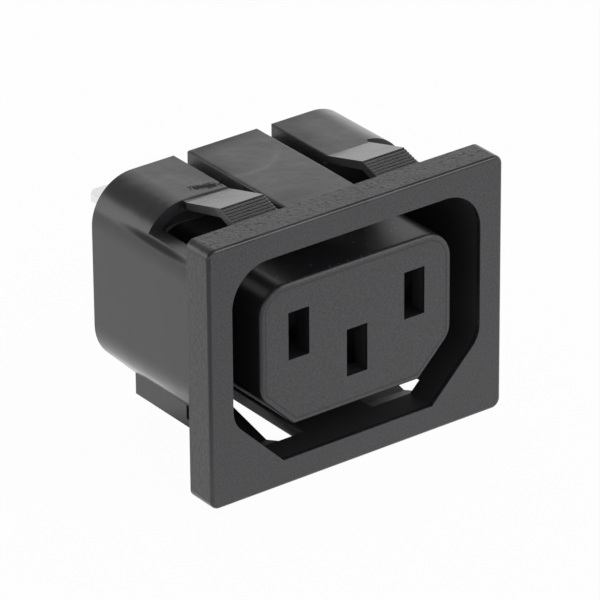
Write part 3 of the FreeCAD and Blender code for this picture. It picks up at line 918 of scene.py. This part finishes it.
def black_moulded_polyester(finish):
    """Glass-filled polyester: a dull grain in front, from the spark-eroded mould, and a half gloss behind."""
    material, shader = new_material("black_moulded_polyester")
    tree = material.node_tree
    at = housing_places(tree)
    rim_line = nose_rim_line(tree, at)
    look = SimpleNamespace()
    look.grained = spark_eroded_areas(tree, at, rim_line)
    look.core, look.inner_wall = core_areas(tree, at)
    look.pits = spark_pits(tree, at, finish)
    look.flow = add_node(tree, "ShaderNodeTexNoise", {"Vector": at.point, **FLOW_WAVES}).outputs["Fac"]
    look.ragged = add_node(tree, "ShaderNodeTexNoise", {"Vector": at.point, **RAGGED_MARKS}).outputs["Fac"]
    look.scuff = scuff_mark(tree, at, look.ragged)
    look.dulling = dull_patches(tree, at)
    nose_dust, dark_pits = nose_dust_and_pits(tree, at)
    # Dust on the nose and in a smear, and painted light: a lighter tone on the slit wall left of the land and
    # on the arms' outer sides
    look.dust_and_painted_light = lay_dust_and_painted_light(tree, at, curved_smear(tree, at), nose_dust)
    # Dark and matt: the scuff, dark pits and specks of wear, and lines of painted shade in the crease, below
    # each corner window and round the nose's rim
    look.worn = look.scuff
    for mark in (
        dark_pits,
        flange_specks(tree, at, look.grained, look.pits),
        painted_shade_lines(tree, at, rim_line),
    ):
        look.worn = add_node(tree, "ShaderNodeMath", {0: look.worn, 1: mark}, operation="MAXIMUM").outputs[0]

    tree.links.new(housing_colour(tree, at, look, finish), shader.inputs["Base Color"])
    tree.links.new(housing_roughness(tree, look), shader.inputs["Roughness"])
    tree.links.new(housing_surface(tree, at, look, finish), shader.inputs["Normal"])
    shader.inputs["IOR"].default_value = POLYESTER_IOR
    return material


def black_moulded_cover(finish):
    """The same polyester with an even, slightly duller moulded surface."""
    material, shader = new_material("black_moulded_cover")
    tree = material.node_tree
    place = add_node(tree, "ShaderNodeTexCoord").outputs["Object"]
    flow = add_node(tree, "ShaderNodeTexNoise", {"Vector": place, **COVER_FLOW}).outputs["Fac"]
    rounded = add_node(tree, "ShaderNodeBevel", {"Radius": finish.edge}, samples=4).outputs["Normal"]
    surface = add_node(
        tree, "ShaderNodeBump", {"Height": flow, "Normal": rounded, **COVER_WAVES}
    ).outputs["Normal"]
    tree.links.new(surface, shader.inputs["Normal"])
    shader.inputs["Base Color"].default_value = opaque(finish.cover)
    shader.inputs["Roughness"].default_value = COVER_ROUGHNESS
    shader.inputs["IOR"].default_value = POLYESTER_IOR
    return material


def tin_plated_brass(finish):
    """Rolled and stamped brass under matt tin: fine lines along the strip show in its soft shine."""
    material, shader = new_material("tin_plated_brass")
    tree = material.node_tree
    place = add_node(tree, "ShaderNodeTexCoord").outputs["Object"]
    stretched = add_node(
        tree, "ShaderNodeMapping", {"Vector": place, "Scale": ROLLED_STRETCH}
    ).outputs["Vector"]
    lines = add_node(tree, "ShaderNodeTexNoise", {"Vector": stretched, **ROLLED_LINES}).outputs["Fac"]
    roughness = add_node(
        tree, "ShaderNodeMapRange", {"Value": lines, **ROLLED_ROUGHNESS}
    ).outputs["Result"]
    rounded = add_node(tree, "ShaderNodeBevel", {"Radius": STRIP_EDGE}, samples=4).outputs["Normal"]
    surface = add_node(
        tree, "ShaderNodeBump", {"Height": lines, "Normal": rounded, **ROLLED_DEPTH}
    ).outputs["Normal"]
    tree.links.new(roughness, shader.inputs["Roughness"])
    tree.links.new(surface, shader.inputs["Normal"])
    shader.inputs["Base Color"].default_value = opaque(finish.plating)
    shader.inputs["Metallic"].default_value = 1.0
    return material


class OUTLET_OT_finish_housing(bpy.types.Operator):
    """Give the moulded housing its grained front and smooth shell"""

    bl_idname = "outlet.finish_housing"
    bl_label = "Finish the housing"

    def execute(self, context):
        dress("housing", black_moulded_polyester(context.scene.outlet_finish))
        return {"FINISHED"}


class OUTLET_OT_finish_cover(bpy.types.Operator):
    """Give the rear cover its moulded surface"""

    bl_idname = "outlet.finish_cover"
    bl_label = "Finish the rear cover"

    def execute(self, context):
        dress("rear_cover", black_moulded_cover(context.scene.outlet_finish))
        return {"FINISHED"}


class OUTLET_OT_finish_contacts(bpy.types.Operator):
    """Plate the three contacts"""

    bl_idname = "outlet.finish_contacts"
    bl_label = "Finish the contacts"

    def execute(self, context):
        plating = tin_plated_brass(context.scene.outlet_finish)
        for node in ("line_contact", "neutral_contact", "earth_contact"):
            dress(node, plating)
        return {"FINISHED"}


def add_camera(stage):
    """Place the camera at the photograph's viewing angle, with no shift."""
    level = math.cos(stage.elevation)
    back = Vector(
        (
            math.sin(stage.azimuth) * level,
            -math.cos(stage.azimuth) * level,
            math.sin(stage.elevation),
        )
    )
    right = Vector((0, 0, 1)).cross(back).normalized()
    up = back.cross(right)
    turn = Matrix.Rotation(stage.roll, 3, back)
    right = turn @ right
    up = turn @ up

    target = Vector((0, FLANGE_FRONT, 0))
    position = target + back * stage.distance
    aim = target + right * stage.aim_right + up * stage.aim_up
    away = (position - aim).normalized()
    across = up.cross(away).normalized()
    upright = away.cross(across)

    data = bpy.data.cameras.new("camera")
    data.sensor_width = PICTURE_SENSOR
    data.lens = stage.lens
    data.clip_start = 10 * MM
    camera = bpy.data.objects.new("camera", data)
    bpy.context.scene.collection.objects.link(camera)
    pose = Matrix((across, upright, away)).transposed().to_4x4()
    pose.translation = position
    camera.matrix_world = pose
    bpy.context.scene.camera = camera


def add_floor(stage):
    """A white floor that keeps the outlet's shadow.

    Reflections of it are dim under the outlet and towards the front left, as a floor in shade would be.
    """
    bpy.ops.mesh.primitive_plane_add(size=FLOOR_SIZE, location=(0, 0, CAD_BOX[0].z - FLOOR_GAP))
    floor = bpy.context.object
    floor.name = "floor"
    material = bpy.data.materials.new("white_paper_floor")
    material.use_nodes = True
    tree = material.node_tree
    tree.nodes.clear()
    paper = add_node(tree, "ShaderNodeBsdfDiffuse", {"Color": opaque(stage.floor)})
    rays = add_node(tree, "ShaderNodeLightPath").outputs
    place = add_node(tree, "ShaderNodeTexCoord").outputs["Object"]
    forward = add_node(
        tree, "ShaderNodeVectorMath", {0: place, 1: FRONT_LEFT}, operation="DOT_PRODUCT"
    ).outputs["Value"]
    open_floor = add_node(tree, "ShaderNodeMapRange", {"Value": forward, **FRONT_SHADE}).outputs["Result"]
    under = soft_patch(tree, place, UNDER_OUTLET)
    mirrored = add_node(
        tree, "ShaderNodeMapRange", {"Value": under, **UNDER_SHADE, "To Min": open_floor}
    ).outputs["Result"]
    brightness = add_node(
        tree, "ShaderNodeMix", {"Factor": rays["Is Glossy Ray"], "A": 1.0, "B": mirrored}
    ).outputs["Result"]
    glow = add_node(tree, "ShaderNodeEmission", {"Color": WHITE, "Strength": brightness})
    seen = rays["Is Camera Ray"]
    for ray in ("Is Glossy Ray", "Is Transmission Ray"):
        seen = add_node(tree, "ShaderNodeMath", {0: seen, 1: rays[ray]}, operation="MAXIMUM").outputs[0]
    share = add_node(tree, "ShaderNodeMath", {0: seen, 1: FLOOR_GLOW}, operation="MULTIPLY").outputs[0]
    mixed = add_node(
        tree, "ShaderNodeMixShader", {0: share, 1: paper.outputs["BSDF"], 2: glow.outputs["Emission"]}
    )
    add_node(tree, "ShaderNodeOutputMaterial", {"Surface": mixed.outputs["Shader"]})
    floor.data.materials.append(material)


def add_surround(stage):
    """A white light tent whose walls dim as they rise, with a dim roof that reaches lower on the left."""
    world = bpy.data.worlds.new("white_tent")
    bpy.context.scene.world = world
    world.use_nodes = True
    tree = world.node_tree
    tree.nodes.clear()
    direction = add_node(tree, "ShaderNodeTexCoord").outputs["Generated"]
    height = add_node(
        tree, "ShaderNodeVectorMath", {0: direction, 1: TENT_TILT}, operation="DOT_PRODUCT"
    ).outputs["Value"]
    walls = add_node(
        tree,
        "ShaderNodeMapRange",
        {
            "Value": height,
            "From Max": WALL_HEIGHT,
            "To Min": stage.surround,
            "To Max": WALL_TOP * stage.surround,
        },
    ).outputs["Result"]
    tent = add_node(
        tree,
        "ShaderNodeMapRange",
        {"Value": height, **ROOF_FADE, "To Min": walls, "To Max": stage.roof},
        interpolation_type="SMOOTHSTEP",
    ).outputs["Result"]
    seen = add_node(tree, "ShaderNodeLightPath").outputs["Is Camera Ray"]
    strength = add_node(tree, "ShaderNodeMix", {"Factor": seen, "A": tent, "B": 1.0}).outputs["Result"]
    light = add_node(tree, "ShaderNodeBackground", {"Color": WHITE, "Strength": strength})
    add_node(tree, "ShaderNodeOutputWorld", {"Surface": light.outputs["Background"]})


def add_softbox(name, power, azimuth, elevation, size):
    """A softbox that faces the outlet, its azimuth counted from the rear to the right."""
    level = math.cos(elevation)
    towards = Vector((math.sin(azimuth) * level, math.cos(azimuth) * level, math.sin(elevation)))
    data = bpy.data.lights.new(name, "AREA")
    data.shape = "RECTANGLE"
    data.size, data.size_y = size
    data.energy = power
    lamp = bpy.data.objects.new(name, data)
    lamp.location = towards * SOFTBOX_DISTANCE
    lamp.rotation_euler = towards.to_track_quat("Z", "Y").to_euler()
    lamp.visible_camera = False
    bpy.context.scene.collection.objects.link(lamp)


class OUTLET_OT_add_stage(bpy.types.Operator):
    """Add the camera, the white floor and the light"""

    bl_idname = "outlet.add_stage"
    bl_label = "Add the stage"

    def execute(self, context):
        stage = context.scene.outlet_stage
        add_camera(stage)
        add_floor(stage)
        add_surround(stage)
        add_softbox("rear_softbox", stage.rear_box, **REAR_SOFTBOX)
        add_softbox("front_softbox", stage.front_box, **FRONT_SOFTBOX)
        context.scene.view_settings.view_transform = "Standard"
        return {"FINISHED"}


class OUTLET_PT_looks(bpy.types.Panel):
    """Finishes and stage of the panel outlet"""

    bl_idname = "OUTLET_PT_looks"
    bl_label = "Panel outlet"
    bl_space_type = "VIEW_3D"
    bl_region_type = "UI"
    bl_category = "Panel outlet"

    def draw(self, context):
        for group in (context.scene.outlet_finish, context.scene.outlet_stage):
            box = self.layout.box()
            for name in group.__annotations__:
                box.prop(group, name)
        for operator in OPERATORS:
            self.layout.operator(operator.bl_idname)


GROUPS = (OutletFinish, OutletStage)
OPERATORS = (
    OUTLET_OT_finish_housing,
    OUTLET_OT_finish_cover,
    OUTLET_OT_finish_contacts,
    OUTLET_OT_add_stage,
)
CLASSES = (*GROUPS, *OPERATORS, OUTLET_PT_looks)


def register():
    for cls in CLASSES:
        bpy.utils.register_class(cls)
    bpy.types.Scene.outlet_finish = PointerProperty(type=OutletFinish)
    bpy.types.Scene.outlet_stage = PointerProperty(type=OutletStage)


def unregister():
    del bpy.types.Scene.outlet_stage
    del bpy.types.Scene.outlet_finish
    for cls in reversed(CLASSES):
        bpy.utils.unregister_class(cls)


def main():
    """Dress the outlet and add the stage."""
    register()
    bpy.ops.outlet.finish_housing()
    bpy.ops.outlet.finish_cover()
    bpy.ops.outlet.finish_contacts()
    bpy.ops.outlet.add_stage()


if __name__ == "__main__":
    main()
